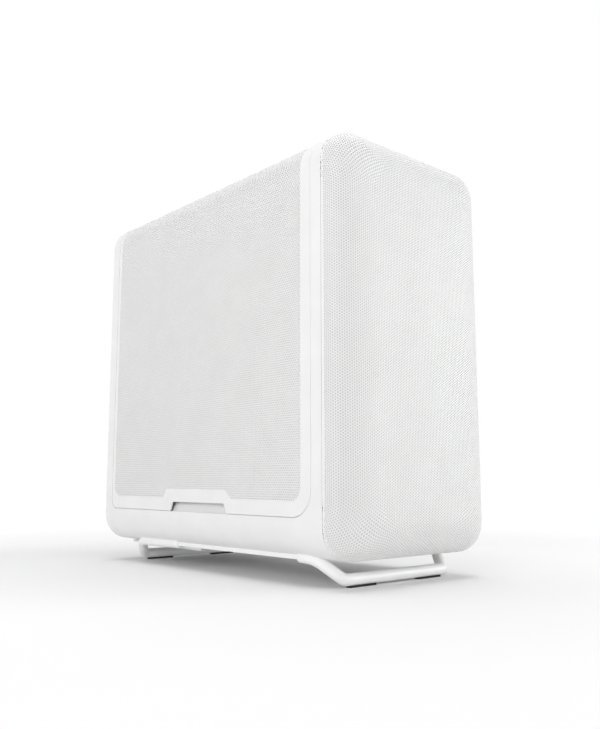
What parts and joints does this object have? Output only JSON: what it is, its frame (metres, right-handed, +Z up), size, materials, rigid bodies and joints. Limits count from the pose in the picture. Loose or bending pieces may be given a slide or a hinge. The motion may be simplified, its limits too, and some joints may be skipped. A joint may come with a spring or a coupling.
{
  "type": "desktop computer tower",
  "caption": "White desktop computer tower with perforated steel side, top and domed front covers, rounded edges, bent tube feet and its board, cooler, card, fans and power supply inside.",
  "frame": {"origin": "on the floor under the centre of the case's footprint", "axes": "+Z up, the domed front faces -Y, the side over the motherboard's parts is -X"},
  "size_m": [0.215, 0.43, 0.43],
  "materials": {
    "painted_shell": "fine satin powder coat, off-white",
    "perforated_steel": "satin powder coat on fine perforated steel",
    "painted_tube": "smooth satin white paint",
    "chassis_steel": "thin satin white paint on steel sheet",
    "bright_steel": "nickel plate",
    "rubber_pads": "matt",
    "white_plastic": "fine moulded texture",
    "fan_blades": "satin moulded",
    "black_plastic": "fine moulded texture",
    "circuit_board": "black solder mask",
    "filter_gauze": "fine nylon gauze",
    "brass_parts": "turned",
    "copper_parts": "polished copper",
    "aluminium_parts": "satin",
    "dark_modules": "matt heat spreaders",
    "cable_sleeve": "braided white sleeve"
  },
  "bodies": {
    "case": {"base_pan": "painted_shell", "front_hoop": "painted_shell", "rear_hoop": "painted_shell", "rear_plate": "chassis_steel", "front_plate": "chassis_steel", "top_rails": "chassis_steel", "motherboard_tray": "chassis_steel", "psu_shroud": "chassis_steel", "drive_cage": "chassis_steel", "hard_drive": "aluminium_parts", "front_foot": "painted_tube", "rear_foot": "painted_tube", "foot_pads": "rubber_pads", "underside_rails": "painted_tube", "stud_sockets": "black_plastic", "control_strip": "white_plastic", "control_board": "circuit_board", "usb_ports": "bright_steel", "audio_jack": "black_plastic", "standoffs": "brass_parts", "motherboard": "circuit_board", "board_connectors": "black_plastic", "board_heatsinks": "aluminium_parts", "io_shield": "bright_steel", "cooler_base": "copper_parts", "cooler_fins": "aluminium_parts", "cooler_fan_frame": "white_plastic", "memory_modules": "dark_modules", "graphics_board": "circuit_board", "graphics_shroud": "white_plastic", "psu_housing": "chassis_steel", "psu_inlet": "black_plastic", "switch_bezel": "black_plastic", "front_fan_frames": "white_plastic", "rear_fan_frame": "white_plastic", "slot_covers": "bright_steel", "rear_screws": "bright_steel", "power_cable": "cable_sleeve"},
    "left_panel": {"left_panel_frame": "painted_shell", "left_panel_mesh": "perforated_steel", "left_panel_studs": "bright_steel"},
    "right_panel": {"right_panel_frame": "painted_shell", "right_panel_mesh": "perforated_steel", "right_panel_studs": "bright_steel"},
    "top_panel": {"top_panel_frame": "painted_shell", "top_panel_mesh": "perforated_steel", "top_panel_studs": "bright_steel"},
    "front_cover": {"front_cover_frame": "white_plastic", "front_cover_mesh": "perforated_steel"},
    "dust_filter": {"filter_frame": "white_plastic", "filter_gauze": "filter_gauze"},
    "power_button": {"power_button": "white_plastic"},
    "psu_rocker": {"psu_switch": "black_plastic"},
    "front_rotor_lower": {"front_fan_rotor_lower": "fan_blades"},
    "front_rotor_upper": {"front_fan_rotor_upper": "fan_blades"},
    "rear_rotor": {"rear_fan_rotor": "fan_blades"},
    "cooler_rotor": {"cooler_fan_rotor": "fan_blades"},
    "graphics_rotor_rear": {"graphics_rotor_rear": "fan_blades"},
    "graphics_rotor_front": {"graphics_rotor_front": "fan_blades"},
    "psu_rotor": {"psu_fan_rotor": "fan_blades"}
  },
  "joints": [
    {"name": "left_panel_pull", "type": "slide", "parent": "case", "child": "left_panel", "axis": [-1, 0, 0], "range_m": [0, 0.08]},
    {"name": "right_panel_pull", "type": "slide", "parent": "case", "child": "right_panel", "axis": [1, 0, 0], "range_m": [0, 0.08]},
    {"name": "top_panel_lift", "type": "slide", "parent": "case", "child": "top_panel", "axis": [0, 0, 1], "range_m": [0, 0.06]},
    {"name": "front_cover_pull", "type": "slide", "parent": "case", "child": "front_cover", "axis": [0, -1, 0], "range_m": [0, 0.06]},
    {"name": "dust_filter_slide", "type": "slide", "parent": "case", "child": "dust_filter", "axis": [0, 1, 0], "range_m": [0, 0.12]},
    {"name": "power_button_press", "type": "slide", "parent": "case", "child": "power_button", "axis": [0, 0, -1], "range_m": [0, 0.0012], "stiffness_N_per_m": 400, "springref_m": -0.0005},
    {"name": "psu_rocker_tilt", "type": "hinge", "parent": "case", "child": "psu_rocker", "pos_m": [-0.014, 0.202, 0.071], "axis": [1, 0, 0], "range_deg": [0, 14]},
    {"name": "front_fan_lower_spin", "type": "hinge", "parent": "case", "child": "front_rotor_lower", "pos_m": [0, -0.168, 0.185], "axis": [0, 1, 0], "continuous": true},
    {"name": "front_fan_upper_spin", "type": "hinge", "parent": "case", "child": "front_rotor_upper", "pos_m": [0, -0.168, 0.327], "axis": [0, 1, 0], "continuous": true},
    {"name": "rear_fan_spin", "type": "hinge", "parent": "case", "child": "rear_rotor", "pos_m": [-0.034, 0.196, 0.318], "axis": [0, 1, 0], "continuous": true},
    {"name": "cooler_fan_spin", "type": "hinge", "parent": "case", "child": "cooler_rotor", "pos_m": [-0.022, 0.081, 0.318], "axis": [0, 1, 0], "continuous": true},
    {"name": "graphics_fan_rear_spin", "type": "hinge", "parent": "case", "child": "graphics_rotor_rear", "pos_m": [0.01025, 0.112, 0.19], "axis": [0, 0, 1], "continuous": true},
    {"name": "graphics_fan_front_spin", "type": "hinge", "parent": "case", "child": "graphics_rotor_front", "pos_m": [0.01025, 0.006, 0.19], "axis": [0, 0, 1], "continuous": true},
    {"name": "psu_fan_spin", "type": "hinge", "parent": "case", "child": "psu_rotor", "pos_m": [0, 0.14, 0.04], "axis": [0, 0, 1], "continuous": true}
  ]
}
